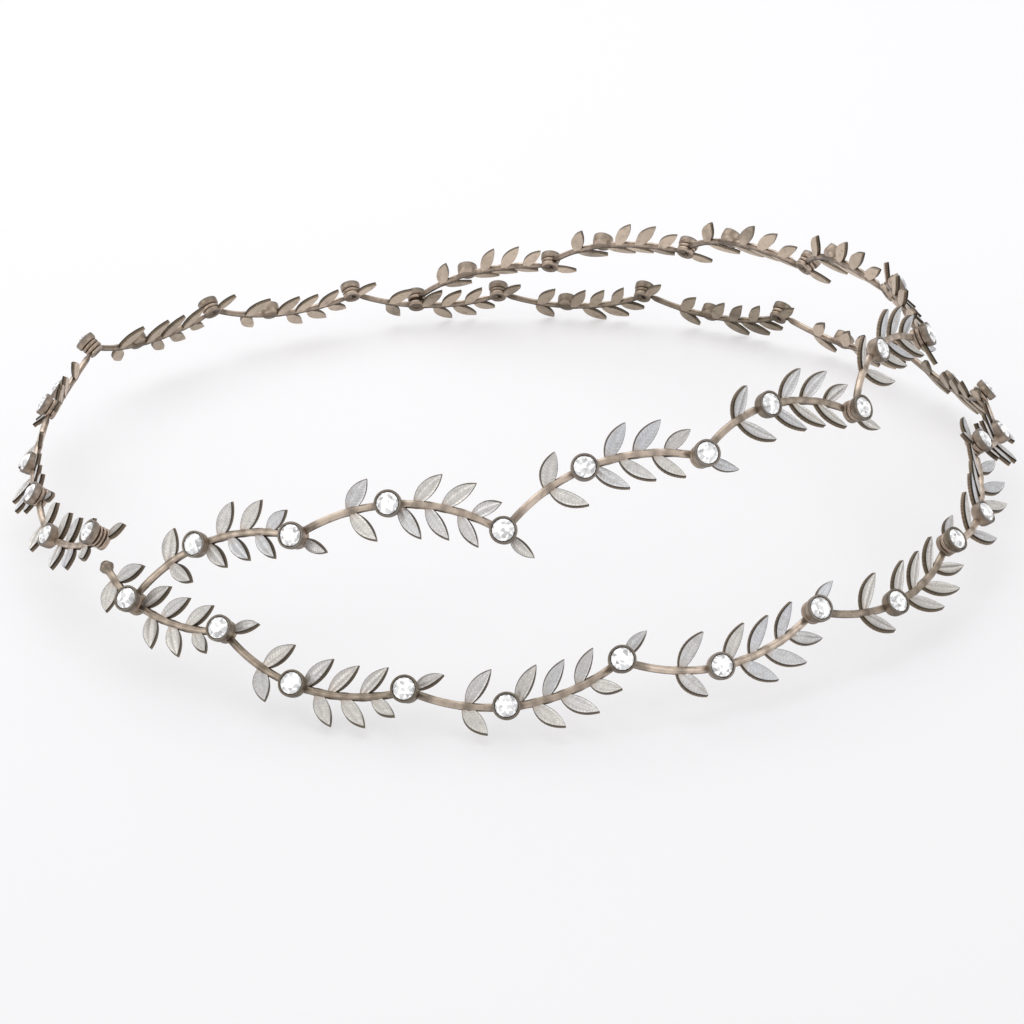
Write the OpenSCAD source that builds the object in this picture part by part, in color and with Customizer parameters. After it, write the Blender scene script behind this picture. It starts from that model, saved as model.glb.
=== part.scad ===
/* [Wreath] */
// Distance between the two rivets of one sprig
sprig_length = 34; // [33.6:0.1:34.4]
// Bearing of the open end at the front left, in degrees round from the right
open_end_bearing = 218.5; // [215:0.5:222]

/* [Stem] */
// Radius of the bow that each sprig is bent to
bow_radius = 32.5; // [30:0.5:36]
// Thickness of the round stem
stem_d = 1.3; // [1.2:0.1:1.4]

/* [Leaves] */
// Thickness of a leaf
leaf_t = 0.9; // [0.8:0.1:1.4]
// Angle by which the leaves rise outwards from the stem
leaf_rise = 18; // [0:1:25]
// Widths of all the leaves, as a share of those in the table
leaf_fullness = 1; // [0.8:0.05:1.1]

/* [Settings] */
// Outside of a stone cup
cup_d = 4.5; // [4.3:0.1:4.7]
// Width of a stone at its girdle
stone_d = 3.6; // [3.4:0.1:3.7]
// Height of the middle cup's rim over the middle of the stem
cup_rise = 2.1; // [1.9:0.1:2.4]
// Height of an end cup's rim over the middle of the stem
post_rise = 2.8; // [2.7:0.1:3]

/* [Rivets] */
// Outside of the hollow post that a sprig ends in
post_d = 2.6; // [2.4:0.1:2.7]
// Outside of the collar at the foot of a post and of the ring that goes round it
ring_d = 3.9; // [3.7:0.1:4]
// Thickness of a ring
ring_t = 0.8; // [0.7:0.1:0.8]
// Clearance between pieces that are riveted or set together
fit_gap = 0.1; // [0.05:0.01:0.12]

/* [Hidden] */

// Rivets of the lower ring, counterclockwise from the open end:
// [reach from the middle, height, lean of the sprig that ends there]
ring_rivets = [
    [88, 20, 0], [89, 13, 43], [93, 9, 40], [94, 13, 36], [95, 14, 34], [96, 14, 42],
    [91, 18, 40], [95, 14, 37], [93, 12, 36], [90, 11, 36], [89, 11, 36], [90, 10, 38],
    [92, 13, 40], [95, 16, 39], [97, 18, 0], [89, 18, 38], [88, 14, 37], [86, 19, 40]
];
// Rivets of the upper strand, from the front left round the right side to the back:
// [reach from the middle, height, lean of the sprig that ends there]
arch_rivets = [
    [82, 29, 35], [81, 31, 32], [80, 39, 36], [80, 37, 32], [80, 38, 27],
    [78, 35, 31], [78, 30, 35], [80, 26, 38], [84, 19, 40]
];
// Leaves of one sprig:
// [place along the bow, back from the end rivet, side, spread, length, width, share of the rise]
leaves = [
    [26, 1, 62, 7.2, 2.5, 1], [26.5, -1, 43, 6.3, 2.6, 1],
    [18, 1, 57, 7.3, 2.4, 1], [15.5, -1, 49, 6.8, 2.4, 1],
    [13.5, 1, 49, 7.2, 2.3, 1], [11, -1, 45, 7.1, 2.4, 1],
    [8, 1, 44, 6.8, 2.2, 1], [6, -1, 43, 5.6, 2.1, 1],
    [-1, 1, 9, 5.4, 1.9, 0]
];
// The leaves at the back of the lower ring, up to its last sprig, rise by this share only
back_share = 0;

// Rivets where strands meet: the back left corner, the right side, and the top of the upper strand
corner = 14;
ring_meeting = 6;
arch_meeting = 4;
// Sprigs whose middle setting is a post that carries the upper strand
front_carrier = 0;
back_carrier = 11;
first_arch_sprig = 17;
// The sprig whose end rivet stays free at the opening
free_end_sprig = 8;
// Moves the middle of the outer sizes over the origin and the lowest leaf onto the ground
middle_shift = [-2.18, 2.08, -2.89];

metal = "#b5ab9a";
crystal = "#e9eef2";
fine = 48;
// Place of the middle cup along the bow, back from the end rivet
cup_place = 19.5;
// Place of the cut end of the sprig that starts the ring
stub_place = 30.5;
cup_foot = -0.3;
cup_wall = 0.35;
recess_depth = 1.2;
collar_foot = -0.6;
collar_top = 0.3;
// Height of the middle of a carried ring over the stem of the sprig that carries it
ring_level = 0.8;
// Posts that carry the upper strand, and the free end rivet with its spacer rings, are this much taller
tall_lift = 0.7;
post_cup_foot = 1.3;
bore_d = 1.7;
bore_top = 1.3;
// Distance from a rivet's axis at which a carried stem ends inside its ring
stem_trim = 1.75;
hole_d = post_d + 2 * fit_gap;
// A carried stem is filed flat this far above and below the middle of its ring, near the cup and collar
filed_half = post_cup_foot - ring_level - fit_gap;
filed_d = cup_d + 2 * fit_gap;
recess_d = cup_d - 2 * cup_wall;
crown_h = 0.6;
girdle_h = 0.15;
pavilion_h = 0.75;
table_share = 0.56;
culet_share = 0.35;
stone_drop = 0.1;
girdle_sides = 16;
facet_sides = 8;
// The corner rivet has a foot flange, and the left strand's ring lies on it
flange_d = 3.4;
flange_foot = -1.2;
flange_top = -0.6;
corner_ring_level = -0.1;
spacer_t = 0.4;
spacer_groove = 0.3;
spacers = 2;
// Bores and recesses run this far past the metal that they open
run_out = 1;

function unit(v) = v / norm(v);
function total(v, i = 0) = i < len(v) ? v[i] + total(v, i + 1) : [0, 0, 0];
function at_bearing(row, bearing) = [row[0] * cos(bearing), row[0] * sin(bearing), row[1]];
function bearing_of(p) = atan2(p[1], p[0]);

// Turn between two rivets that are one sprig apart
function turn(a, b) =
    acos((a[0] * a[0] + b[0] * b[0] + pow(b[1] - a[1], 2) - pow(sprig_length, 2)) / (2 * a[0] * b[0]));
function bearings(rows, first, k = 0, found = []) =
    k == len(rows) ? found
    : let(here = k == 0 ? first : found[k - 1] + turn(rows[k - 1], rows[k]))
      bearings(rows, first, k + 1, concat(found, [here]));

// Outward face of a sprig that leans by this angle: hand is 1 where it runs counterclockwise
function level_out(from, to, hand) = unit(cross(to - from, [0, 0, 1])) * hand;
function face(from, to, lean, hand) =
    let(out = level_out(from, to, hand), rise = unit(cross(out, to - from)) * hand)
    out * cos(lean) + rise * sin(lean);

// Axis of a rivet: the mean of the faces of the sprigs that meet on it
function axis(rivet, sprigs, faces) =
    unit(total([for (k = [0 : len(sprigs) - 1])
        if (sprigs[k][0] == rivet || sprigs[k][1] == rivet) faces[k]]));

// Half the angle of the bow between two ends this far apart
function half_bow(chord) = asin(chord / 2 / bow_radius);
function bow_turn(chord, place) = half_bow(chord) - place / bow_radius * 180 / PI;

// Lower ring: sprigs as [from rivet, to rivet, hand]
ring_bearings = bearings(ring_rivets, open_end_bearing);
ring_points = [for (k = [0 : len(ring_rivets) - 1]) at_bearing(ring_rivets[k], ring_bearings[k])];
ring_sprigs = concat(
    [for (k = [0 : ring_meeting - 1]) [k, k + 1, 1]],
    [for (k = [corner : len(ring_rivets) - 2]) [k, k + 1, 1]],
    [for (k = [corner : -1 : ring_meeting + 1]) [k, k - 1, -1]]
);
ring_faces = [for (s = ring_sprigs) face(ring_points[s[0]], ring_points[s[1]], ring_rivets[s[1]][2], s[2])];
ring_axes = [for (k = [0 : len(ring_rivets) - 1]) axis(k, ring_sprigs, ring_faces)];

// Lift of a sprig's start and end over the rivets that carry them
function ring_start_lift(s) = s[0] == 0 ? 0 : s[0] == corner && s[2] > 0 ? corner_ring_level : ring_level;
function ring_end_lift(s) = s[1] == ring_meeting && s[2] < 0 ? ring_level : 0;
ring_frames = [for (s = ring_sprigs) [
    ring_points[s[0]] + ring_start_lift(s) * ring_axes[s[0]],
    ring_points[s[1]] + ring_end_lift(s) * ring_axes[s[1]],
    ring_rivets[s[1]][2], s[2], 1, ring_axes[s[0]], ring_axes[s[1]]
]];

// Point and outward axis of the middle setting of a ring sprig, at the height of a carried ring
function frame_face(f) = face(f[0], f[1], f[2], f[3]);
function carrier_point(f) =
    let(chord = norm(f[1] - f[0]), along = unit(f[1] - f[0]), out = frame_face(f),
        side = unit(cross(out, along)) * f[3], angle = bow_turn(chord, cup_place))
    f[0] + along * (chord / 2 + bow_radius * sin(angle))
    + side * bow_radius * (cos(half_bow(chord)) - cos(angle)) + out * (ring_level + tall_lift);

// Upper strand: its rivets turn evenly between the two posts that carry its ends
front_post = carrier_point(ring_frames[front_carrier]);
back_post = carrier_point(ring_frames[back_carrier]);
arch_rows = concat(
    [[norm([front_post[0], front_post[1]]), front_post[2], 0]],
    arch_rivets,
    [[norm([back_post[0], back_post[1]]), back_post[2], 0]]
);
even_bearings = bearings(arch_rows, 0);
arch_last = len(arch_rows) - 1;
arch_sweep = bearing_of(back_post) - bearing_of(front_post);
arch_evening = arch_sweep / even_bearings[arch_last];
arch_points = concat(
    [front_post],
    [for (k = [1 : arch_last - 1])
        at_bearing(arch_rows[k], bearing_of(front_post) + arch_evening * even_bearings[k])],
    [back_post]
);
arch_sprigs = concat(
    [for (k = [0 : arch_meeting]) [k, k + 1, 1]],
    [for (k = [arch_last : -1 : arch_meeting + 2]) [k, k - 1, -1]]
);
arch_faces = [for (s = arch_sprigs) face(arch_points[s[0]], arch_points[s[1]], arch_rows[s[1]][2], s[2])];
arch_axes = concat(
    [frame_face(ring_frames[front_carrier])],
    [for (k = [1 : arch_last - 1]) axis(k, arch_sprigs, arch_faces)],
    [frame_face(ring_frames[back_carrier])]
);
function arch_start_lift(s) = s[0] == 0 || s[0] == arch_last ? 0 : ring_level;
function arch_end_lift(s) = s[1] == arch_meeting + 1 && s[2] < 0 ? ring_level : 0;
arch_frames = [for (s = arch_sprigs) [
    arch_points[s[0]] + arch_start_lift(s) * arch_axes[s[0]],
    arch_points[s[1]] + arch_end_lift(s) * arch_axes[s[1]],
    arch_rows[s[1]][2], s[2], -1, arch_axes[s[0]], arch_axes[s[1]]
]];

// Every sprig: [start, end, lean, hand, bow, start axis, end axis]
frames = concat(ring_frames, arch_frames);
names = concat(
    [for (k = [1 : 6]) str("front_sprig_", k)],
    [for (k = [1 : 3]) str("left_sprig_", k)],
    [for (k = [1 : 8]) str("back_sprig_", k)],
    [for (k = [1 : 5]) str("upper_front_sprig_", k)],
    [for (k = [1 : 5]) str("upper_back_sprig_", k)]
);
function stones_of(name) = str(name, "_stones");

function is_stub(k) = k == 0;
function is_carrier(k) = k == front_carrier || k == back_carrier;
function ends_in_ring(k) = k == first_arch_sprig - 1 || k == len(frames) - 1;
function mid_rim(k) = is_carrier(k) ? post_rise + tall_lift : cup_rise;
function end_lift(k) = k == free_end_sprig ? tall_lift : 0;
function is_flat(k) = frames[k][3] < 0 && frames[k][4] > 0 && !ends_in_ring(k);

module in_frame(f) {
    along = f[1] - f[0];
    heading = atan2(along[1], along[0]);
    climb = asin(along[2] / norm(along));
    translate(f[0])
        rotate([0, -climb, heading])
            mirror([0, f[3] < 0 ? 1 : 0, 0])
                rotate([90 - f[2], 0, 0])
                    mirror([0, f[4] < 0 ? 1 : 0, 0])
                        children();
}

module on_axis(point, direction) {
    translate(point)
        rotate([0, acos(direction[2]), atan2(direction[1], direction[0])])
            children();
}

// Turns x along the bow, at a place counted back from the end rivet
module along_bow(chord, place) {
    translate([chord / 2, bow_radius * cos(half_bow(chord)), 0])
        rotate(bow_turn(chord, place))
            translate([0, -bow_radius, 0])
                children();
}

module stem(chord, first_place, last_place) {
    first_turn = bow_turn(chord, first_place);
    sweep = bow_turn(chord, last_place) - first_turn;
    translate([chord / 2, bow_radius * cos(half_bow(chord)), 0])
        rotate(first_turn - 90)
            rotate_extrude(angle = sweep, $fn = 2 * fine)
                translate([bow_radius, 0])
                    circle(d = stem_d, $fn = fine);
}

module leaf(length, width) {
    full = width * leaf_fullness;
    side_radius = (length * length + full * full) / 4 / full;
    intersection_for (side = [-1, 1])
        translate([length / 2, side * (side_radius - full / 2), -leaf_t / 2])
            cylinder(r = side_radius, h = leaf_t, $fn = 2 * fine);
}

module disc(d, foot, top) {
    translate([0, 0, foot])
        cylinder(d = d, h = top - foot, $fn = fine);
}

module post_metal(lift) {
    disc(ring_d, collar_foot, collar_top);
    disc(post_d, collar_foot, post_cup_foot + lift + fit_gap);
    disc(cup_d, post_cup_foot + lift, post_rise + lift);
}

module spacer_rings() {
    for (k = [0 : spacers - 1]) {
        foot = collar_top + spacer_groove + k * (spacer_t + spacer_groove);
        disc(ring_d, foot, foot + spacer_t);
    }
}

module post_bore(foot, lift) {
    disc(bore_d, foot - run_out, bore_top + lift);
    disc(recess_d, post_rise + lift - recess_depth, post_rise + lift + run_out);
}

module carried_ring() {
    disc(ring_d, -ring_t / 2, ring_t / 2);
}

// The stem and leaves that end at a post are filed down under the ring that turns on it
module ring_seat(lift) {
    disc(ring_d + 2 * fit_gap, ring_level + lift - ring_t / 2 - fit_gap, post_cup_foot + lift);
}

// Room for the post that a ring turns on, and for the cup and the collar on either side of the ring
module ring_room() {
    reach = ring_t + post_rise;
    disc(hole_d, -reach, reach);
    disc(filed_d, filed_half, reach);
    disc(filed_d, -reach, -filed_half);
}

module stem_and_leaves(k, chord) {
    whole = 2 * half_bow(chord) / 180 * PI * bow_radius;
    rise = leaf_rise * (is_flat(k) ? back_share : 1);
    stem(chord, is_stub(k) ? stub_place : whole - stem_trim, ends_in_ring(k) ? stem_trim : 0);
    for (row = leaves)
        along_bow(chord, row[0])
            rotate([row[1] * row[5] * rise, 0, 0]) rotate([0, 0, row[1] * row[2]]) leaf(row[3], row[4]);
}

module cast_sprig(k) {
    f = frames[k];
    chord = norm(f[1] - f[0]);
    color(metal)
    difference() {
        union() {
            difference() {
                in_frame(f) stem_and_leaves(k, chord);
                if (is_carrier(k)) in_frame(f) along_bow(chord, cup_place) ring_seat(tall_lift);
                if (!ends_in_ring(k)) on_axis(f[1], f[6]) ring_seat(end_lift(k));
            }
            in_frame(f) along_bow(chord, cup_place) {
                if (is_carrier(k)) post_metal(tall_lift);
                else disc(cup_d, cup_foot, cup_rise);
            }
            if (!is_stub(k)) on_axis(f[0], f[5]) carried_ring();
            on_axis(f[1], f[6]) {
                if (ends_in_ring(k)) carried_ring();
                else post_metal(end_lift(k));
                if (k == free_end_sprig) spacer_rings();
            }
        }
        in_frame(f) along_bow(chord, cup_place) {
            if (is_carrier(k)) post_bore(collar_foot, tall_lift);
            else disc(recess_d, cup_rise - recess_depth, cup_rise + run_out);
        }
        if (!is_stub(k)) on_axis(f[0], f[5]) ring_room();
        on_axis(f[1], f[6]) {
            if (ends_in_ring(k)) ring_room();
            else post_bore(collar_foot, end_lift(k));
        }
    }
}

// A round cut stone: a table and eight crown facets above the girdle, a cut back below it
module cut_stone() {
    table_d = stone_d * table_share;
    hull() {
        cylinder(d = stone_d, h = girdle_h, $fn = girdle_sides);
        translate([0, 0, girdle_h])
            rotate(180 / facet_sides)
                cylinder(d = table_d, h = crown_h, $fn = facet_sides);
        translate([0, 0, -pavilion_h])
            cylinder(d = stone_d * culet_share, h = pavilion_h, $fn = facet_sides);
    }
}

module set_stone(rim) {
    translate([0, 0, rim - girdle_h - stone_drop])
        cut_stone();
}

module stones(k) {
    f = frames[k];
    chord = norm(f[1] - f[0]);
    color(crystal) {
        in_frame(f) along_bow(chord, cup_place) set_stone(mid_rim(k));
        if (!ends_in_ring(k)) on_axis(f[1], f[6]) set_stone(post_rise + end_lift(k));
    }
}

// The rivet at the back left corner, on which the left and the back strands both start
module corner_rivet() {
    color(metal)
    on_axis(ring_points[corner], ring_axes[corner])
        difference() {
            union() {
                disc(flange_d, flange_foot, flange_top);
                disc(post_d, flange_foot, post_cup_foot + fit_gap);
                disc(cup_d, post_cup_foot, post_rise);
            }
            post_bore(flange_foot, 0);
        }
}

module corner_stone() {
    color(crystal)
    on_axis(ring_points[corner], ring_axes[corner]) set_stone(post_rise);
}

translate(middle_shift) {
    for (k = [0 : len(frames) - 1]) {
        cast_sprig(k);
        stones(k);
    }
    corner_rivet();
    corner_stone();
}
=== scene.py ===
import math
import random

import bmesh
import bpy
from mathutils import Matrix, Vector


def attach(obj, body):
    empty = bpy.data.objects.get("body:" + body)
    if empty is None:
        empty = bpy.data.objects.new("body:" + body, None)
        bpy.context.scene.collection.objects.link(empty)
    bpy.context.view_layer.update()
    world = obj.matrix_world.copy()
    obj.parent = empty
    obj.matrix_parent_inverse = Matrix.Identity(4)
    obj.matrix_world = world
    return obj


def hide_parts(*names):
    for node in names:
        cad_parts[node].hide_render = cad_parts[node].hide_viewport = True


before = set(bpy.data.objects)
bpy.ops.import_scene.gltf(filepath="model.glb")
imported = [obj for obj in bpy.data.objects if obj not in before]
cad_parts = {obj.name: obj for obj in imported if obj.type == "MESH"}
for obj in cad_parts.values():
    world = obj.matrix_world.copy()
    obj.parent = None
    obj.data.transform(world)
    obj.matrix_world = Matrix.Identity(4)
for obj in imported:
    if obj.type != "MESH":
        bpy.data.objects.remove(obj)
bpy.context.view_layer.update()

random.seed(27)
print("frame loaded:", len(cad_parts), "nodes")

# Sizes are millimetres and degrees until a finished piece is brought to metres in the frame
millimetre = 0.001
wreath = {
    "openBearing": 218.5,  # of the lower ring's first rivet, at the open end
    "corner": 14,  # rivet where the left and the back strands start
    "ringMeeting": 6,  # rivet at the right where the front and the back strands meet
    "archMeeting": 4,  # the same in the upper strand
    "archSprigs": 17,  # the upper strand's sprigs start at this one
    "frontCarrier": 0,  # sprigs whose middle post carries the upper strand
    "backCarrier": 11,
    "freeEnd": 8,  # sprig that ends in a taller post with spacer rings
    "middleShift": (-2.18, 2.08, -2.89),  # from the middle of the ring to the frame's origin
}
# Rivets of the lower ring: reach from the middle, height, lean of the sprig that ends there
ringRivets = [
    (88, 20, 0), (89, 13, 43), (93, 9, 40), (94, 13, 36), (95, 14, 34), (96, 14, 42),
    (91, 18, 40), (95, 14, 37), (93, 12, 36), (90, 11, 36), (89, 11, 36), (90, 10, 38),
    (92, 13, 40), (95, 16, 39), (97, 18, 0), (89, 18, 38), (88, 14, 37), (86, 19, 40),
]
# Rivets of the upper strand between its carriers, with the same columns
archRivets = [
    (82, 29, 35), (81, 31, 32), (80, 39, 36), (80, 37, 32), (80, 38, 27),
    (78, 35, 31), (78, 30, 35), (80, 26, 38), (84, 19, 40),
]
sprigForm = {
    "length": 34,  # between its rivets
    "bowRadius": 32.5,
    "cupPlace": 19.5,  # of its middle cup, back from its end rivet along the bow
    "ringLevel": 0.8,  # of its ring on the post of the sprig before
    "cornerRingLevel": -0.1,  # of the lower one of the two rings on the corner rivet
    "lift": 0.7,  # the posts that carry the upper strand and the free end post are taller
}
# How far the finish of each sprig has darkened towards olive, strand by strand
patina = {
    "front": (0.6, 0.95, 0.5, 0.15, 0.8, 0),
    "left": (0.1, 0, 0.1),
    "back": (0.5, 0.05, 0.25, 0.65, 0.9, 0.15, 0.55, 0),
    "upper_front": (0.4, 0.25, 0.15, 0.6, 0.1),
    "upper_back": (0, 0, 0.05, 0.05, 0),
}


def unit(vector):
    return vector / vector.length


def polar(row, bearing):
    reach, height = row[:2]
    return Vector((reach * math.cos(bearing), reach * math.sin(bearing), height))


def turnBetween(a, b):
    # turn between two rivets that are one sprig apart
    square = a[0] ** 2 + b[0] ** 2 + (b[1] - a[1]) ** 2 - sprigForm["length"] ** 2
    return math.acos(square / (2 * a[0] * b[0]))


def walk(rows, first):
    # bearings of the rivets, one sprig a step
    found = [first]
    for a, b in zip(rows, rows[1:]):
        found.append(found[-1] + turnBetween(a, b))
    return found


def faceOf(start, end, lean, hand):
    # direction that a sprig's leaves face: outwards, and leaning up
    out = unit((end - start).cross(Vector((0, 0, 1)))) * hand
    rise = unit(out.cross(end - start)) * hand
    return out * math.cos(math.radians(lean)) + rise * math.sin(math.radians(lean))


def axesOf(count, ends, faces):
    # a rivet's axis is the mean of the faces of the sprigs that meet on it
    return [
        unit(sum((face for (a, b, _), face in zip(ends, faces) if rivet in (a, b)), Vector()))
        for rivet in range(count)
    ]


def halfBow(chord):
    return math.asin(chord / 2 / sprigForm["bowRadius"])


def bowMatrix(chord, place):
    # x runs along the bow at a place counted back from the end rivet
    radius = sprigForm["bowRadius"]
    angle = halfBow(chord) - place / radius
    centre = Vector((chord / 2, radius * math.cos(halfBow(chord)), 0))
    outwards = Matrix.Translation((0, -radius, 0))
    return Matrix.Translation(centre) @ Matrix.Rotation(angle, 4, "Z") @ outwards


def sprigMatrix(sprig):
    # local z is the outward face, and the bow opens to local y
    along = sprig["end"] - sprig["start"]
    return (
        Matrix.Translation(sprig["start"])
        @ Matrix.Rotation(math.atan2(along.y, along.x), 4, "Z")
        @ Matrix.Rotation(-math.asin(along.z / along.length), 4, "Y")
        @ Matrix.Diagonal((1, sprig["hand"], 1, 1))
        @ Matrix.Rotation(math.radians(90 - sprig["lean"]), 4, "X")
        @ Matrix.Diagonal((1, sprig["bow"], 1, 1))
    )


def axisMatrix(point, axis):
    return (
        Matrix.Translation(point)
        @ Matrix.Rotation(math.atan2(axis.y, axis.x), 4, "Z")
        @ Matrix.Rotation(math.acos(axis.z), 4, "Y")
    )


def strandSprigs(points, rows, ends, axes, startLevels, meeting, bow):
    # sprigs from rivet a to rivet b; startLevels has the levels of the rings that differ from the rest
    # where the strands meet, one post carries both, and the back strand ends in a ring
    found = []
    for a, b, hand in ends:
        startLevel = startLevels.get((a, hand), sprigForm["ringLevel"])
        endLevel = sprigForm["ringLevel"] if b == meeting and hand < 0 else 0
        found.append({
            "start": points[a] + startLevel * axes[a], "end": points[b] + endLevel * axes[b],
            "lean": rows[b][2], "hand": hand, "bow": bow, "startAxis": axes[a], "endAxis": axes[b],
        })
    return found


def ringSprigs():
    corner, meeting, last = wreath["corner"], wreath["ringMeeting"], len(ringRivets) - 1
    bearings = walk(ringRivets, math.radians(wreath["openBearing"]))
    points = [polar(row, bearing) for row, bearing in zip(ringRivets, bearings)]
    ends = [(k, k + 1, 1) for k in range(meeting)]
    ends += [(k, k + 1, 1) for k in range(corner, last)]
    ends += [(k, k - 1, -1) for k in range(corner, meeting, -1)]
    faces = [faceOf(points[a], points[b], ringRivets[b][2], hand) for a, b, hand in ends]
    axes = axesOf(last + 1, ends, faces)
    startLevels = {(0, 1): 0, (corner, 1): sprigForm["cornerRingLevel"]}
    found = strandSprigs(points, ringRivets, ends, axes, startLevels, meeting, 1)
    return found, points[corner], axes[corner]


def carrierPost(sprig):
    # the place on a sprig's middle post that the upper strand's ring goes to, and its axis
    local = bowMatrix((sprig["end"] - sprig["start"]).length, sprigForm["cupPlace"])
    level = Vector((0, 0, sprigForm["ringLevel"] + sprigForm["lift"]))
    point = sprigMatrix(sprig) @ (local @ level)
    return point, faceOf(sprig["start"], sprig["end"], sprig["lean"], sprig["hand"])


def archSprigs(ring):
    frontPost, frontAxis = carrierPost(ring[wreath["frontCarrier"]])
    backPost, backAxis = carrierPost(ring[wreath["backCarrier"]])
    rows = [(math.hypot(frontPost.x, frontPost.y), frontPost.z, 0), *archRivets]
    rows.append((math.hypot(backPost.x, backPost.y), backPost.z, 0))
    last, meeting = len(rows) - 1, wreath["archMeeting"] + 1
    even = walk(rows, 0)
    first = math.atan2(frontPost.y, frontPost.x)
    sweep = (math.atan2(backPost.y, backPost.x) - first) / even[-1]
    points = [frontPost] + [polar(rows[k], first + sweep * even[k]) for k in range(1, last)] + [backPost]
    ends = [(k, k + 1, 1) for k in range(meeting)] + [(k, k - 1, -1) for k in range(last, meeting, -1)]
    faces = [faceOf(points[a], points[b], rows[b][2], hand) for a, b, hand in ends]
    axes = axesOf(last + 1, ends, faces)
    axes[0], axes[last] = frontAxis, backAxis
    return strandSprigs(points, rows, ends, axes, {(0, 1): 0, (last, -1): 0}, meeting, -1)


toFrame = Matrix.Scale(millimetre, 4) @ Matrix.Translation(wreath["middleShift"])
ring, cornerPoint, cornerAxis = ringSprigs()
sprigs = ring + archSprigs(ring)
sprigNames = [f"{strand}_sprig_{k + 1}" for strand, ages in patina.items() for k in range(len(ages))]
sprigAges = [age for ages in patina.values() for age in ages]
print("sprigs placed:", len(sprigs))


# Finishes
class Wire:
    # one value in a node tree; sums, differences and products of values add Math nodes
    def __init__(self, tree, socket=None):
        self.tree, self.socket = tree, socket

    def node(self, kind, options, inputs, output=0):
        made = self.tree.nodes.new("ShaderNode" + kind)
        for key, value in options.items():
            setattr(made, key, value)
        for key, value in inputs.items():
            socket = made.inputs[key]
            if isinstance(value, Wire):
                self.tree.links.new(value.socket, socket)
            elif socket.type == "RGBA":
                socket.default_value = (*value, 1)
            else:
                socket.default_value = value
        return Wire(self.tree, made.outputs[output] if made.outputs else None)

    def math(self, operation, a, b=0.0):
        return self.node("Math", {"operation": operation}, {0: a, 1: b})

    def __add__(self, other):
        return self.math("ADD", self, other)

    def __mul__(self, other):
        return self.math("MULTIPLY", self, other)

    def __sub__(self, other):
        return self.math("SUBTRACT", self, other)

    def __rsub__(self, other):
        return self.math("SUBTRACT", other, self)

    def __abs__(self):
        return self.math("ABSOLUTE", self)

    __radd__, __rmul__ = __add__, __mul__

    def fade(self, low, high):
        # 0 at low and 1 at high, smoothly; high may be the smaller
        ends = {"Value": self, "From Min": low, "From Max": high}
        return self.node("MapRange", {"interpolation_type": "SMOOTHSTEP"}, ends)

    def mix(self, a, b):
        # the Mix node's colours are its inputs 6 and 7 and its output 2
        return self.node("Mix", {"data_type": "RGBA"}, {0: self, 6: a, 7: b}, 2)

    def lay(self, colour, layer):
        # lays a colour over another where this mask shows it, at the layer's own strength
        paint, strength = layer
        return (self * strength).mix(colour, paint)

    def attribute(self, name):
        return self.node("Attribute", {"attribute_name": name}, {}, "Fac")

    def split(self, vector):
        parts = self.node("SeparateXYZ", {}, {"Vector": vector})
        return [Wire(self.tree, socket) for socket in parts.socket.node.outputs]

    def spot(self):
        return self.node("TexCoord", {}, {}, "Object")

    def noise(self, scale, detail=3.0):
        inputs = {"Vector": self.spot(), "Scale": scale, "Detail": detail, "Roughness": 0.62}
        return self.node("TexNoise", {}, inputs)

    def mapParts(self):
        # on a leaf: place from 0 at its foot to 1 at its tip, and across it from 0 to 1
        # on a stone: a facet's glint, which picks its painted grey reflection, and 1 where it lies flat
        return self.split(self.node("UVMap", {"uv_map": "pieceMap"}, {}))[:2]

    def bumps(self, scale, strength, depth):
        inputs = {"Height": self.noise(scale, 2.0), "Strength": strength, "Distance": depth}
        return self.node("Bump", {}, inputs)


def newFinish(name):
    material = bpy.data.materials.new(name)
    material.use_nodes = True
    material.node_tree.nodes.clear()
    return material, Wire(material.node_tree)


def coated(base, **inputs):
    sockets = {key.replace("_", " "): value for key, value in inputs.items()}
    base.node("OutputMaterial", {}, {"Surface": base.node("BsdfPrincipled", {}, sockets)})


# Pale faces of the leaves; a layer is a colour and how strongly it shows
silver = {
    "cool": (0.755, 0.765, 0.80),  # each leaf's own tone lies between these two
    "warm": (0.82, 0.78, 0.725),
    "old": ((0.42, 0.385, 0.34), 0.5),
    "dim": ((0.56, 0.54, 0.52), 0.7),  # in clouds
    "bright": ((0.94, 0.93, 0.92), 0.5),  # in fine grains
    "groove": ((0.44, 0.43, 0.42), 0.4),
    "foot": ((0.52, 0.42, 0.34), 0.75),
    "rim": ((0.17, 0.145, 0.12), 0.7),
    "cloudScale": 900.0,
    "grainScale": 2600.0,
    "bumpScale": 5000.0,
    "metallic": 0.6,
    "rough": 0.26,
}


def silverFace(name):
    material, base = newFinish(name)
    place, across = base.mapParts()
    cloud, grain = base.noise(silver["cloudScale"]), base.noise(silver["grainScale"], 2.0)
    side = abs(across - 0.5) * 2.0  # 0 on the middle line and 1 at the rim
    groove = base.attribute("groove") * side.fade(0.0, 0.3)
    colour = base.attribute("tone").fade(0.1, 0.9).mix(silver["cool"], silver["warm"])
    colour = base.attribute("patina").lay(colour, silver["old"])
    colour = cloud.fade(0.42, 0.7).lay(colour, silver["dim"])
    colour = grain.fade(0.52, 0.68).lay(colour, silver["bright"])
    colour = groove.lay(colour, silver["groove"])
    colour = place.fade(0.3, 0.02).lay(colour, silver["foot"])
    colour = side.fade(0.86, 0.98).lay(colour, silver["rim"])
    coated(
        base, Base_Color=colour, Roughness=cloud * 0.25 + silver["rough"], Metallic=silver["metallic"],
        Normal=base.bumps(silver["bumpScale"], 0.2, 0.00004),
    )
    return material
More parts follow.
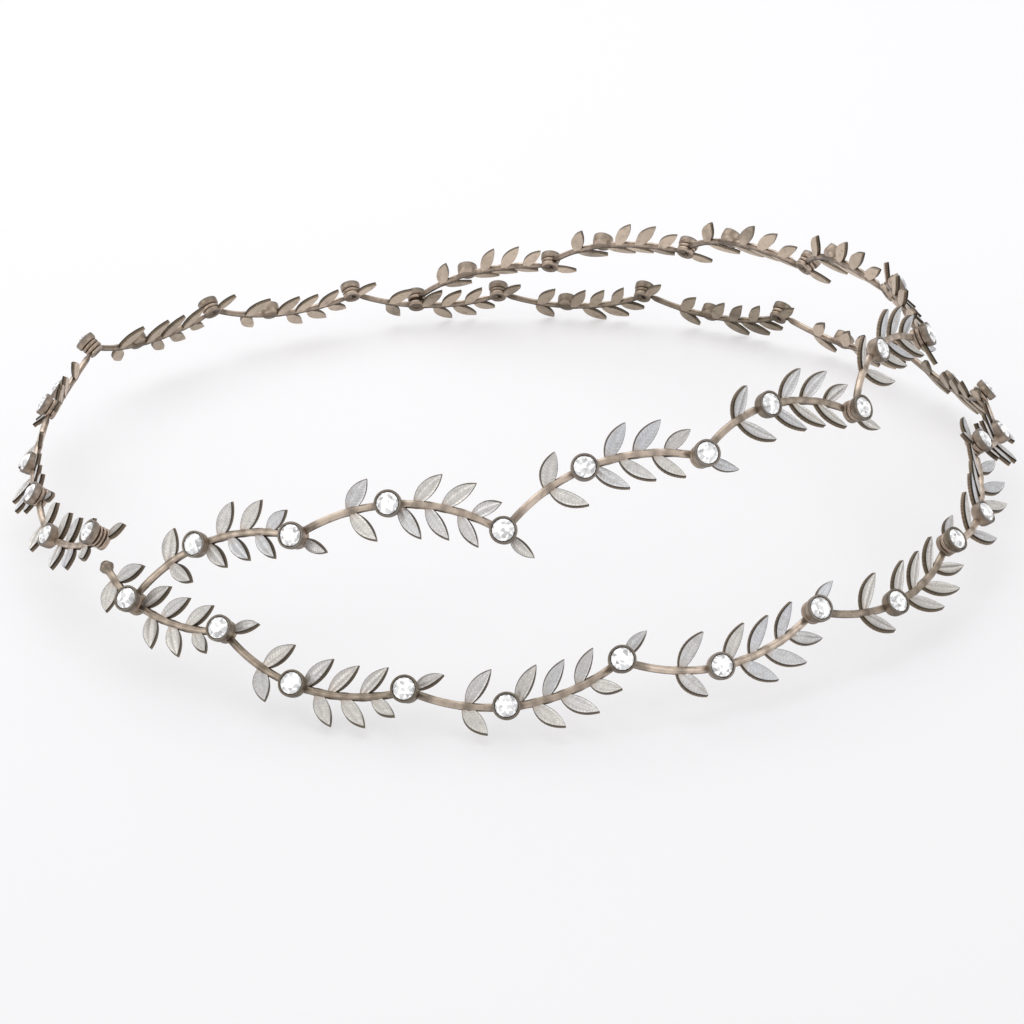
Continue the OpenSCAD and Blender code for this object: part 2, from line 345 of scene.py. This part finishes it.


# Darkened metal: its colours outwards, below that and at the back, the depths at which they change,
# and how strongly painted shade darkens what faces the ground
metals = {
    # the leaf walls are near black just under the face's lip: antique darkening together with painted
    # shade
    "leafWall": {
        "front": (0.03, 0.023, 0.016), "middle": (0.25, 0.195, 0.14), "back": (0.70, 0.58, 0.465),
        "turn": 0.36, "low": 0.9, "under": 0, "metallic": 0.7, "rough": 0.4,
    },
    "stem": {
        "front": (0.76, 0.63, 0.52), "middle": (0.48, 0.375, 0.295), "back": (0.42, 0.335, 0.27),
        "turn": 0.45, "low": 0.68, "under": 1, "metallic": 0.8, "rough": 0.28,
    },
    "cup": {
        "front": (0.27, 0.235, 0.205), "middle": (0.42, 0.335, 0.265), "back": (0.54, 0.43, 0.345),
        "turn": 0.14, "low": 0.75, "under": 0.75, "metallic": 0.8, "rough": 0.28,
    },
    "collar": {
        "front": (0.52, 0.40, 0.32), "middle": (0.50, 0.39, 0.31), "back": (0.36, 0.275, 0.205),
        "turn": 0.4, "low": 0.8, "under": 0.75, "metallic": 0.8, "rough": 0.28,
    },
}
dirtAndShade = {
    "olive": ((0.13, 0.105, 0.062), 0.6),
    # dark of grime in clouds and grooves, and of painted shade on what faces the ground
    "grimeAndShade": (0.06, 0.043, 0.028),
    "inClouds": 0.5,  # how strongly the grime shows there
    "inGrooves": 0.55,
    # painted shade, near black, in bores and recesses
    "boreShade": (0.01, 0.007, 0.004),
    "cloudScale": 700.0,
    "bumpScale": 3500.0,
}


def darkMetal(name):
    metal = metals[name]
    turn, low = metal["turn"], metal["low"]
    material, base = newFinish(name)
    cloud, depth = base.noise(dirtAndShade["cloudScale"], 5.0), base.attribute("depth")
    level = depth + cloud * 0.16 - 0.08  # the clouds make the colours' borders uneven
    colour = level.fade(turn - 0.12, turn + 0.12).mix(metal["front"], metal["middle"])
    colour = level.fade(low - 0.15, low + 0.15).mix(colour, metal["back"])
    colour = base.attribute("patina").lay(colour, dirtAndShade["olive"])
    colour = cloud.fade(0.45, 0.8).lay(colour, (dirtAndShade["grimeAndShade"], dirtAndShade["inClouds"]))
    colour = base.attribute("groove").lay(colour, (dirtAndShade["grimeAndShade"], dirtAndShade["inGrooves"]))
    # painted shade on what faces the ground, in the grime's dark colour
    colour = base.attribute("under").fade(0.2, 0.8).lay(colour, (dirtAndShade["grimeAndShade"], metal["under"]))
    # painted shade, near black, in bores and recesses
    colour = depth.fade(1.1, 1.8).mix(colour, dirtAndShade["boreShade"])
    coated(
        base, Base_Color=colour, Roughness=cloud * 0.25 + metal["rough"], Metallic=metal["metallic"],
        Normal=base.bumps(dirtAndShade["bumpScale"], 0.25, 0.00005),
    )
    return material


# Foil-backed crystal: bright with a painted glow, and painted grey reflections facet by facet and in
# small cells
crystal = {
    "light": (0.9, 0.9, 0.9),
    "soft": (0.56, 0.56, 0.57),
    "shade": (0.34, 0.33, 0.33),
    "cellScale": 1500.0,
    # the stone glows with a painted light
    "paintedGlow": 0.3,
}


def cutStone(name):
    material, base = newFinish(name)
    glint, flat = base.mapParts()
    cells = base.node("TexVoronoi", {}, {"Vector": base.spot(), "Scale": crystal["cellScale"]}, "Color")
    cell = base.split(cells)[0]
    facet = flat.fade(0.995, 0.98)  # 0 on the table, which stays clearer
    # painted reflections: grey facets, and grey cells that also cross the table
    colour = (glint.fade(0.6, 0.66) * facet).mix(crystal["light"], crystal["soft"])
    colour = (glint.fade(0.86, 0.9) * facet).mix(colour, crystal["shade"])
    colour = (cell.fade(0.62, 0.66) * 0.8).mix(colour, crystal["soft"])
    colour = (cell.fade(0.86, 0.88) * (facet * 0.3 + 0.5)).mix(colour, crystal["shade"])
    coated(
        base, Base_Color=colour, Roughness=0.05, IOR=1.9, Coat_Weight=1.0, Coat_Roughness=0.02,
        # a painted glow keeps the stone bright
        Emission_Color=colour, Emission_Strength=crystal["paintedGlow"],
    )
    return material


metalFinishes = [silverFace("leafFace")] + [darkMetal(name) for name in metals]
surfaces = ["leafFace", *metals]  # a face's material is its surface's place in this list
stoneFinish = cutStone("cutStone")
print("finishes:", len(metalFinishes) + 1)


# Meshes: each shape is modelled once, in a small mesh of its own, and placed on the sprigs from there
def newShape():
    shape = bmesh.new()
    shape.loops.layers.uv.new("pieceMap")
    shape.verts.layers.float.new("depth")  # 0 on the outward face, 1 at the back, 2 in a bore or recess, which is painted in shade
    shape.verts.layers.float.new("tone")  # differs from leaf to leaf and from stone to stone
    shape.verts.layers.float.new("groove")  # 1 between a leaf's veins and where grime gathers; more at a bore's mouth, for painted shade
    shape.verts.layers.float.new("patina")  # from 0 to 1, as its sprig has darkened
    shape.verts.layers.float.new("under")  # 1 where the finished piece faces the ground, which painted shade darkens
    return shape


def stored(shape, name):
    mesh = bpy.data.meshes.new(name)
    shape.to_mesh(mesh)
    shape.free()
    return mesh


def vertsOf(geometry):
    return [item for item in geometry if isinstance(item, bmesh.types.BMVert)]


def rimOf(shape):
    return [edge for edge in shape.edges if edge.is_boundary]


def arch(share):
    # 0 at both ends of a length and 1 in its middle
    return 4 * share * (1 - share)


def hump(distance, width):
    # 1 at no distance, fading out smoothly
    return math.exp(-((distance / width) ** 2))


# Cups, posts and rings
cup = {
    "rise": 2.1,  # of a middle cup's rim above the stem's middle line
    "postRise": 2.8,  # of the rim of a cup on a post
    "boreTop": 1.3,
    "boreRadius": 0.85,
    "recessReach": 1.92,  # within this radius and so far below the rim a point is in the recess
    "recessDepth": 1.21,
    "boreReach": 0.9,  # within this radius and above this level it is in the bore
    "boreFoot": -0.29,
    "mouthReach": 1.1,  # within this radius and below this level it is at the bore's mouth
    "mouthTop": -0.45,
    # how strongly painted shade darkens the bore's mouth
    "mouthShade": 1.3,
    "spacers": (0.6, 1.3),  # heights of the spacer rings on the free end rivet
    "turns": 44,
}
# Turned sections, closed round the axis: radius, height
cupSection = [
    (0, 0.9), (1.83, 0.9), (1.9, 1), (1.9, 1.98), (1.94, 2.06), (2.01, 2.1), (2.15, 2.1), (2.22, 2.06),
    (2.25, 1.98), (2.25, 1.7), (2.22, 1.2), (2.18, 0.7), (2.1, 0.3), (1.95, 0), (1.7, -0.2), (1.3, -0.3),
    (0, -0.3),
]
# Outside of the collar at the foot of a post, up to the cup's foot
collarSection = [
    (0.85, -0.5), (0.95, -0.6), (1.72, -0.6), (1.88, -0.54), (1.95, -0.42), (1.95, 0.12), (1.88, 0.24),
    (1.74, 0.3), (1.3, 0.3),
]
# Outside of the corner rivet's foot flange
flangeSection = [
    (0.85, -1.12), (0.93, -1.2), (1.5, -1.2), (1.64, -1.15), (1.7, -1.03), (1.7, -0.77), (1.64, -0.65),
    (1.5, -0.6), (1.3, -0.6),
]
# Cup on a post, from its foot to the bottom of its recess
postCupSection = [
    (1.3, 1.3), (1.72, 1.3), (1.98, 1.36), (2.12, 1.48), (2.2, 1.7), (2.24, 2.1), (2.25, 2.5),
    (2.25, 2.68), (2.22, 2.76), (2.15, 2.8), (2.01, 2.8), (1.94, 2.76), (1.9, 2.68), (1.9, 1.7),
    (1.83, 1.6), (0, 1.6),
]
spacerSection = [
    (1.3, 0), (1.78, 0), (1.9, 0.05), (1.95, 0.14), (1.95, 0.26), (1.9, 0.35), (1.78, 0.4), (1.3, 0.4),
]
ringSection = [
    (1.4, -0.34), (1.47, -0.4), (1.7, -0.4), (1.86, -0.34), (1.95, -0.2), (1.95, 0.2), (1.86, 0.34),
    (1.7, 0.4), (1.47, 0.4), (1.4, 0.34),
]


def turned(section, name, surface):
    # a section spun round the axis; depth runs from 0 at its top to 1 at its foot
    shape = newShape()
    verts = [shape.verts.new((radius, 0, height)) for radius, height in section]
    edges = [shape.edges.new(pair) for pair in zip(verts, verts[1:])]
    if section[0][0] > 0:
        edges.append(shape.edges.new((verts[-1], verts[0])))
    bmesh.ops.spin(
        shape, geom=verts + edges, cent=(0, 0, 0), axis=(0, 0, 1), angle=math.tau, steps=cup["turns"],
        use_merge=True,
    )
    bmesh.ops.remove_doubles(shape, verts=shape.verts, dist=0.0005)
    bmesh.ops.recalc_face_normals(shape, faces=shape.faces)
    heights = [height for _, height in section]
    foot, top = min(heights), max(heights)
    depth, groove = shape.verts.layers.float["depth"], shape.verts.layers.float["groove"]
    for vert in shape.verts:
        vert[depth] = (top - vert.co.z) / (top - foot)
        if surface == "cup":
            reach, height = vert.co.xy.length, vert.co.z
            inRecess = reach < cup["recessReach"] and height > top - cup["recessDepth"]
            inBore = reach < cup["boreReach"] and height > cup["boreFoot"]
            # the recess and the bore are painted in shade, and so is the bore's mouth
            if inRecess or inBore:
                vert[depth] = 2
            if reach < cup["mouthReach"] and height < cup["mouthTop"]:
                vert[groove] = cup["mouthShade"]
    for face in shape.faces:
        face.material_index = surfaces.index(surface)
        face.smooth = True
    return stored(shape, name)


def post(footSection, lift=0):
    # foot, hollow post and cup in one turned section
    boreTop = cup["boreTop"] + lift
    cupOnPost = [(radius, height + lift) for radius, height in postCupSection]
    return [(0, boreTop), (cup["boreRadius"], boreTop), *footSection, *cupOnPost]


cupMesh = turned(cupSection, "cupPart", "cup")
postMesh = turned(post(collarSection), "postPart", "cup")
tallPostMesh = turned(post(collarSection, sprigForm["lift"]), "tallPostPart", "cup")
cornerMesh = turned(post(flangeSection), "cornerPart", "cup")
ringMesh = turned(ringSection, "ringPart", "collar")
spacerMesh = turned(spacerSection, "spacerPart", "collar")

# Leaves of one sprig: place back from the end rivet, side, spread, length, width, share of the rise
leafRows = [
    (26, 1, 62, 7.2, 2.5, 1), (26.5, -1, 43, 6.3, 2.6, 1),
    (18, 1, 57, 7.3, 2.4, 1), (15.5, -1, 49, 6.8, 2.4, 1),
    (13.5, 1, 49, 7.2, 2.3, 1), (11, -1, 45, 7.1, 2.4, 1),
    (8, 1, 44, 6.8, 2.2, 1), (6, -1, 43, 5.6, 2.1, 1),
    (-1, 1, 9, 5.4, 1.9, 0),
]
leaf = {
    "rise": 18,  # of its plane out of the sprig's
    "backShare": 0,  # share of the rise at the back of the lower ring, up to its last sprig
    "thickness": 0.88,
    "fullness": 0.93,  # below 1 the sides are rounder than a plain lens
    "shoulder": 0.95,  # below 1 the widest place moves towards the foot
    "neck": 0.14,  # half width that is left at the foot
    "hook": 0.22,  # the middle line bows back from the end rivet
    "curl": 0.2,  # the foot lies this much lower than the tip
    "slope": 0.24,  # share of the half towards the end rivet that slopes down, on the bow side's leaves
    "edge": 0.06,  # width of the bevel round the face and of the band round the back
    "veins": 12,
    "vein": 0.06,  # height of a vein
    "veinProfile": (0, 0.6, 1, 0.6),  # from one groove to the next
    "grooveProfile": (1, 0.4, 0, 0.4),
    "veinReach": 0.88,  # share of the half width at which the veins end
    "slant": 0.12,  # the veins run this share of the length forward
    "filedFoot": 1.1,  # the leaf beyond the rivet is filed down to the collar so far from its foot
    "collarTop": 0.26,
}
# Section across a leaf: place as a share of the half width, height under the rim
leafSection = [
    (-1, 0), (-0.9, 0), (-0.8, -0.1), (-0.5, -0.15), (-0.17, -0.1), (0, 0.02),
    (0.17, -0.1), (0.5, -0.15), (0.8, -0.1), (0.9, 0), (1, 0),
]


def leafHalfWidth(share, width):
    lens = max(0.0, 1 - (2 * share ** leaf["shoulder"] - 1) ** 2) ** leaf["fullness"]
    return width / 2 * lens + leaf["neck"] * (1 - share)


def leafFace(shape, length, width, slope):
    # the outward face, as a grid whose cross lines follow the veins
    pieceMap, groove = shape.loops.layers.uv["pieceMap"], shape.verts.layers.float["groove"]
    fine = len(leaf["veinProfile"])
    steps = leaf["veins"] * fine
    bmesh.ops.create_grid(shape, x_segments=steps, y_segments=len(leafSection) - 1, size=1)
    lines = sorted({round(vert.co.x, 4) for vert in shape.verts})
    columns = sorted({round(vert.co.y, 4) for vert in shape.verts})
    places = {}
    for vert in shape.verts:
        line = lines.index(round(vert.co.x, 4))
        share = line / (len(lines) - 1)
        side, under = leafSection[columns.index(round(vert.co.y, 4))]
        place = share + leaf["slant"] * abs(side) * arch(share)
        along = math.sin(math.pi * min(1, abs(side) / leaf["veinReach"]))
        ridge = leaf["vein"] * leaf["veinProfile"][line % fine] * along
        calm = min(1, 5 * (1 - share), 4 * share)  # the relief dies out at the tip and the foot
        reach = side * leafHalfWidth(place, width) * (1 - slope * (side < 0))
        height = leaf["thickness"] / 2 + (under + ridge) * calm
        vert.co = (place * length, leaf["hook"] * arch(place) + reach, height)
        places[vert] = (place, side / 2 + 0.5)
        vert[groove] = leaf["grooveProfile"][line % fine] * calm
    for face in shape.faces:
        for loop in face.loops:
            loop[pieceMap].uv = places[loop.vert]


def leafMesh(row, name):
    # the leaf lies along x from its foot, outward face up
    _, hand, _, length, width, rising = row
    half = leaf["thickness"] / 2
    slope = leaf["slope"] if hand > 0 else 0
    shape = newShape()
    leafFace(shape, length, width, slope)
    top = set(shape.faces)
    wall = vertsOf(bmesh.ops.extrude_edge_only(shape, edges=rimOf(shape))["geom"])
    for vert in wall:
        middle = leaf["hook"] * arch(vert.co.x / length)
        vert.co.z = leaf["edge"] - half
        if vert.co.y < middle:  # the slope ends at the leaf's full width
            vert.co.y = middle + (vert.co.y - middle) / (1 - slope)
    back = vertsOf(bmesh.ops.extrude_edge_only(shape, edges=rimOf(shape))["geom"])
    for vert in back:
        vert.co.z = -half
    bmesh.ops.remove_doubles(shape, verts=shape.verts, dist=0.003)
    bmesh.ops.contextual_create(shape, geom=rimOf(shape))
    for face in shape.faces:
        face.material_index = surfaces.index("leafFace" if face in top else "leafWall")
        face.smooth = face in top
    bmesh.ops.recalc_face_normals(shape, faces=shape.faces)
    lip = [edge for edge in shape.edges if len({face.material_index for face in edge.link_faces}) == 2]
    bmesh.ops.bevel(
        shape, geom=lip, offset=leaf["edge"], segments=1, profile=0.5, affect="EDGES", material=-1,
    )
    depth = shape.verts.layers.float["depth"]
    for vert in shape.verts:
        vert[depth] = min(1, max(0, (half - vert.co.z) / leaf["thickness"]))
        vert.co.z += leaf["curl"] * ((vert.co.x / length) ** 2 - 1)
        if not rising and vert.co.x < leaf["filedFoot"]:
            vert.co.z = min(vert.co.z, leaf["collarTop"])
    return stored(shape, name)


leafMeshes = [leafMesh(row, f"leafPart{k}") for k, row in enumerate(leafRows)]

# Stem of a sprig; its places are counted back from the end rivet
stem = {
    "width": 1.3,
    "depth": 1.3,
    "knot": 0.12,  # share by which it swells where leaves spring
    "knotShift": 0.4,  # a knot lies so far towards the end rivet from its leaf's place
    "knotLength": 0.7,
    "knotGrime": 0.7,
    "cupGrime": 2.1,  # grime gathers within this distance of a cup or rivet, and then fades
    "cupGrimeFade": 0.6,
    "trim": 1.75,  # it ends inside a carried ring, this far from the rivet
    "filedReach": 2.3,  # within this distance of a rivet it is filed flat
    "filedFade": 0.8,  # over this length it grows round again
    "filedHalf": 0.36,  # half of its depth there
    "collarLevel": -0.15,  # of the filed flat's middle in a collar
    "stubPlace": 30.5,  # the first sprig has a bare stub with a knob, not a ring
    "stubKnob": 1.0,
    "knobPlace": 1,  # from the stub's end
    "steps": 66,
    "sides": 18,
}


def filed(distance, inCollar):
    # shares of the stem's upper and lower half that are left so far from a rivet
    whole = stem["depth"] / 2
    upper = lower = stem["filedHalf"]
    if inCollar:
        upper, lower = upper + stem["collarLevel"], lower - stem["collarLevel"]
    fade = min(1, max(0, (distance - stem["filedReach"]) / stem["filedFade"]))
    return [min(1, (part + (whole - part) * fade) / whole) for part in (upper, lower)]


def stemWire(shape, chord, centre, firstPlace, lastPlace):
    # a round wire spun along the bow, closed at both ends
    wire = bmesh.ops.create_circle(shape, segments=stem["sides"], radius=stem["width"] / 2)["verts"]
    flatten = Matrix.Diagonal((stem["depth"] / stem["width"], 1, 1, 1))
    upright = Matrix.Rotation(math.radians(90), 4, "Y") @ flatten
    bmesh.ops.transform(shape, matrix=bowMatrix(chord, firstPlace) @ upright, verts=wire)
    sweep = (firstPlace - lastPlace) / sprigForm["bowRadius"]
    bmesh.ops.spin(
        shape, geom=wire + list(shape.edges), cent=centre, axis=(0, 0, 1), angle=sweep,
        steps=stem["steps"],
    )
    for end in (firstPlace, lastPlace):
        middle = bowMatrix(chord, end).translation
        mouth = [edge for edge in rimOf(shape) if (edge.verts[0].co - middle).length < stem["width"]]
        bmesh.ops.contextual_create(shape, geom=mouth)
    bmesh.ops.recalc_face_normals(shape, faces=shape.faces)


def stemMesh(chord, firstPlace, lastPlace):
    # the wire swells in a knot where each leaf springs, and is filed flat at its rivets
    shape = newShape()
    radius = sprigForm["bowRadius"]
    centre = Vector((chord / 2, radius * math.cos(halfBow(chord)), 0))
    stemWire(shape, chord, centre, firstPlace, lastPlace)
    isStub = firstPlace == stem["stubPlace"]
    depth, groove = shape.verts.layers.float["depth"], shape.verts.layers.float["groove"]
    for vert in shape.verts:
        arm = vert.co - centre
        angle = math.atan2(arm.x, -arm.y)
        place = (halfBow(chord) - angle) * radius
        middle = centre + Vector((math.sin(angle), -math.cos(angle), 0)) * radius
        high, low = filed(place, inCollar=not lastPlace)
        if not isStub:
            startHigh, startLow = filed(firstPlace + stem["trim"] - place, inCollar=False)
            high, low = min(high, startHigh), min(low, startLow)
        knots = sum(hump(place - row[0] + stem["knotShift"], stem["knotLength"]) for row in leafRows)
        nearCup = min(abs(place - sprigForm["cupPlace"]), place, abs(firstPlace - place))
        soiled = hump(max(0, nearCup - stem["cupGrime"]), stem["cupGrimeFade"])
        vert[groove] = min(1, stem["knotGrime"] * knots + soiled)
        vert[depth] = min(1, max(0, 0.5 - vert.co.z / stem["depth"]))
        swell = 1 + stem["knot"] * min(1, knots)
        if isStub:
            swell += stem["stubKnob"] * hump(place - firstPlace + stem["knobPlace"], stem["knotLength"])
        vert.co = middle + (vert.co - middle) * swell
        vert.co.z *= high if vert.co.z > 0 else low
    for face in shape.faces:
        face.material_index = surfaces.index("stem")
        face.smooth = len(face.verts) == 4
    return stored(shape, "stemPart")


# Brilliants; table, culet and kite are shares of the radius
stone = {
    "across": 3.6,
    "girdle": 0.15,
    "crown": 0.6,
    "pavilion": 0.75,
    "table": 0.56,
    "culet": 0.3,
    "kite": 0.8,  # reach of the points where the kites and the stars meet
    "kiteRise": 0.33,
    "drop": 0.1,  # of the girdle's top under the cup's rim
    "cuts": 6,  # stones to choose from, which differ in their painted glints and are turned
    "cutTurn": 7,  # this much from one to the next
}


def stoneMesh(name, turn):
    # the facets span rings of points: radius, height, count, share of a step that the ring is turned by
    shape = newShape()
    reach, girdle = stone["across"] / 2, stone["girdle"]
    for radius, height, count, offset in (
        (reach * stone["culet"], -stone["pavilion"], 8, 0.5),
        (reach, 0, 16, 0),
        (reach, girdle, 16, 0),
        (reach * stone["kite"], girdle + stone["kiteRise"], 8, 0.5),
        (reach * stone["table"], girdle + stone["crown"], 8, 0),
    ):
        points = bmesh.ops.create_circle(shape, segments=count, radius=radius)["verts"]
        spin = Matrix.Rotation((offset * math.tau / count) + turn, 4, "Z")
        bmesh.ops.transform(shape, matrix=Matrix.Translation((0, 0, height)) @ spin, verts=points)
    hull = bmesh.ops.convex_hull(shape, input=shape.verts)
    loose = vertsOf(hull["geom_interior"] + hull["geom_unused"])
    bmesh.ops.delete(shape, geom=loose, context="VERTS")
    stray = [edge for edge in shape.edges if not edge.link_faces]
    bmesh.ops.delete(shape, geom=stray, context="EDGES")
    bmesh.ops.dissolve_limit(shape, angle_limit=math.radians(2), verts=shape.verts, edges=shape.edges)
    bmesh.ops.recalc_face_normals(shape, faces=shape.faces)
    pieceMap = shape.loops.layers.uv["pieceMap"]
    for face in shape.faces:
        # each facet's glint picks its painted reflection
        glint = random.random()
        for loop in face.loops:
            loop[pieceMap].uv = (glint, max(0, face.normal.z))
    return stored(shape, name)


stoneMeshes = [
    stoneMesh(f"stonePart{k}", math.radians(stone["cutTurn"] * k)) for k in range(stone["cuts"])
]
print("parts modelled:", len(leafMeshes), "leaves,", len(stoneMeshes), "stones, cups, posts and rings")


# Pieces: one casting and one set of stones for each sprig, and the corner rivet
def raised(height):
    return Matrix.Translation((0, 0, height))


def stoneSeat(rim):
    return raised(rim - stone["girdle"] - stone["drop"])


def placed(shape, mesh, matrix):
    # adds a stored mesh to a piece, at its place on the sprig
    vertCount, faceCount = len(shape.verts), len(shape.faces)
    shape.from_mesh(mesh)
    shape.verts.ensure_lookup_table()
    shape.faces.ensure_lookup_table()
    verts, faces = shape.verts[vertCount:], shape.faces[faceCount:]
    bmesh.ops.transform(shape, matrix=matrix, verts=verts)
    if matrix.determinant() < 0:
        bmesh.ops.reverse_faces(shape, faces=faces)
    toneLayer, tone = shape.verts.layers.float["tone"], random.random()
    for vert in verts:
        vert[toneLayer] = tone


def finished(shape, name, node, finishes, age=0):
    bmesh.ops.transform(shape, matrix=toFrame, verts=shape.verts)
    shape.normal_update()
    patinaLayer, underShadeLayer = shape.verts.layers.float["patina"], shape.verts.layers.float["under"]
    for vert in shape.verts:
        # what faces the ground is marked for painted shade
        vert[patinaLayer], vert[underShadeLayer] = age, max(0, -vert.normal.z)
    mesh = stored(shape, name)
    for finish in finishes:
        mesh.materials.append(finish)
    piece = bpy.data.objects.new(name, mesh)
    bpy.context.scene.collection.objects.link(piece)
    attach(piece, "root")
    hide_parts(node)


ringEnders = (wreath["archSprigs"] - 1, len(sprigs) - 1)  # these end in a ring, not in a post
carriers = (wreath["frontCarrier"], wreath["backCarrier"])


def addLeaves(metal, onSprig, chord, rise):
    for row, mesh in zip(leafRows, leafMeshes):
        place, side, spread, _, _, rising = row
        turn = (
            Matrix.Rotation(math.radians(side * rise * rising), 4, "X")
            @ Matrix.Rotation(math.radians(side * spread), 4, "Z")
            @ Matrix.Diagonal((1, side, 1, 1))
        )
        placed(metal, mesh, onSprig @ bowMatrix(chord, place) @ turn)


def addMiddleCup(metal, stones, middle, isCarrier):
    placed(metal, tallPostMesh if isCarrier else cupMesh, middle)
    rim = cup["postRise"] + sprigForm["lift"] if isCarrier else cup["rise"]
    placed(stones, random.choice(stoneMeshes), middle @ stoneSeat(rim))


def addEndPost(metal, stones, end, isFreeEnd):
    placed(metal, tallPostMesh if isFreeEnd else postMesh, end)
    lift = sprigForm["lift"] if isFreeEnd else 0
    placed(stones, random.choice(stoneMeshes), end @ stoneSeat(cup["postRise"] + lift))
    if isFreeEnd:
        for height in cup["spacers"]:
            placed(metal, spacerMesh, end @ raised(height))


def addSprig(k, sprig):
    chord = (sprig["end"] - sprig["start"]).length
    onSprig = sprigMatrix(sprig)
    start = axisMatrix(sprig["start"], sprig["startAxis"])
    end = axisMatrix(sprig["end"], sprig["endAxis"])
    metal, stones = newShape(), newShape()
    whole = 2 * halfBow(chord) * sprigForm["bowRadius"]
    firstPlace = whole - stem["trim"] if k else stem["stubPlace"]
    placed(metal, stemMesh(chord, firstPlace, stem["trim"] if k in ringEnders else 0), onSprig)
    liesFlat = sprig["hand"] < 0 < sprig["bow"] and k not in ringEnders
    addLeaves(metal, onSprig, chord, leaf["rise"] * (leaf["backShare"] if liesFlat else 1))
    addMiddleCup(metal, stones, onSprig @ bowMatrix(chord, sprigForm["cupPlace"]), k in carriers)
    if k:
        placed(metal, ringMesh, start)
    if k in ringEnders:
        placed(metal, ringMesh, end)
    else:
        addEndPost(metal, stones, end, k == wreath["freeEnd"])
    name = sprigNames[k]
    finished(metal, name + "_casting", name, metalFinishes, sprigAges[k])
    finished(stones, name + "_cut_stones", name + "_stones", [stoneFinish])


def addCorner():
    corner = axisMatrix(cornerPoint, cornerAxis)
    metal, stones = newShape(), newShape()
    placed(metal, cornerMesh, corner)
    placed(stones, stoneMeshes[0], corner @ stoneSeat(cup["postRise"]))
    finished(metal, "corner_rivet_turned", "corner_rivet", metalFinishes)
    finished(stones, "corner_stone_cut", "corner_stone", [stoneFinish])


for k, sprig in enumerate(sprigs):
    addSprig(k, sprig)
addCorner()
print("pieces placed:", 2 * len(sprigs) + 2)

# Camera, at the photograph's angle; the focal length is in its pixels
view = {
    "target": (0.2, -19.9, 3.9),
    "distance": 415.4,
    "elevation": 25.15,
    "azimuth": -1.26,
    "roll": 2.69,
    "focal": 2216,
    "picture": 1024,
    "sensor": 36,
}


def viewMatrix():
    elevation, azimuth, roll = (math.radians(view[key]) for key in ("elevation", "azimuth", "roll"))
    level = math.cos(elevation)
    back = Vector((-math.sin(azimuth) * level, -math.cos(azimuth) * level, math.sin(elevation)))
    right = Vector((math.cos(azimuth), -math.sin(azimuth), 0))
    up = back.cross(right)
    across = right * math.cos(roll) - up * math.sin(roll)
    upward = right * math.sin(roll) + up * math.cos(roll)
    turn = Matrix((across, upward, back)).transposed().to_4x4()
    return Matrix.Translation((Vector(view["target"]) + back * view["distance"]) * millimetre) @ turn


cameraData = bpy.data.cameras.new("camera")
cameraData.sensor_width = view["sensor"]
cameraData.lens = view["sensor"] * view["focal"] / view["picture"]
cameraData.clip_start, cameraData.clip_end = 0.01, 20
camera = bpy.data.objects.new("camera", cameraData)
bpy.context.scene.collection.objects.link(camera)
camera.matrix_world = viewMatrix()
bpy.context.scene.camera = camera
bpy.context.scene.view_settings.view_transform = "Standard"  # the photograph's plain contrast

# Studio, in metres
studio = {
    "floor": (0.45, 0.446, 0.453),
    "floorNear": (0.42, 0.417, 0.423),
    "nearTo": -0.3,  # painted shade: the floor is a little darker in front of this, and changes up to the next
    "farFrom": 0.2,
    "floorPaintedGlow": 1.06,  # the floor's painted glow, which keeps the shadows on it faint
    "floorReach": 3,
    "wall": (0.73, 0.735, 0.75),  # a little darker than the ceiling
    "ceiling": (1, 1, 1),
    "wallTop": 0.15,  # heights, as shares of straight up, between which the wall turns into the ceiling
    "ceilingFoot": 0.8,
    "strength": 0.72,
}
# Soft boxes: name, place, target, size, power, colour
softBoxes = [
    ("top", (-0.2, 0.6, 0.9), (0, 0.1, 0), 1.2, 5, (1, 1, 1)),
    ("left", (-0.9, -0.6, 0.5), (0, 0, 0.02), 0.7, 2.6, (1, 0.99, 0.97)),
    ("right", (0.9, -0.6, 0.6), (0, 0, 0.02), 0.7, 2.2, (0.96, 0.98, 1)),
]


def addFloor():
    shape = bmesh.new()
    bmesh.ops.create_grid(shape, x_segments=8, y_segments=8, size=studio["floorReach"])
    mesh = stored(shape, "floor")
    finish, base = newFinish("floor")
    away = base.split(base.spot())[1]
    # the floor's painted shade, darker towards the front
    colour = away.fade(studio["nearTo"], studio["farFrom"]).mix(studio["floorNear"], studio["floor"])
    paintedGlow = studio["floorPaintedGlow"]
    # the floor glows with a painted light
    coated(base, Base_Color=colour, Roughness=0.6, Emission_Color=colour, Emission_Strength=paintedGlow)
    mesh.materials.append(finish)
    floor = bpy.data.objects.new("floor", mesh)
    bpy.context.scene.collection.objects.link(floor)


def addSoftBox(name, spot, target, size, power, colour):
    lampData = bpy.data.lights.new(name, "AREA")
    lampData.size, lampData.energy, lampData.color = size, power, colour
    lamp = bpy.data.objects.new(name, lampData)
    bpy.context.scene.collection.objects.link(lamp)
    lamp.location = spot
    lamp.rotation_mode = "QUATERNION"
    lamp.rotation_quaternion = (Vector(spot) - Vector(target)).to_track_quat("Z", "Y")


def addWorld():
    world = bpy.data.worlds.new("studio")
    world.use_nodes = True
    world.node_tree.nodes.clear()
    around = Wire(world.node_tree)
    height = around.split(around.node("TexCoord", {}, {}, "Generated"))[2]
    sky = height.fade(studio["wallTop"], studio["ceilingFoot"]).mix(studio["wall"], studio["ceiling"])
    light = around.node("Background", {}, {"Color": sky, "Strength": studio["strength"]})
    around.node("OutputWorld", {}, {"Surface": light})
    bpy.context.scene.world = world


addFloor()
for row in softBoxes:
    addSoftBox(*row)
addWorld()
print("studio lit")
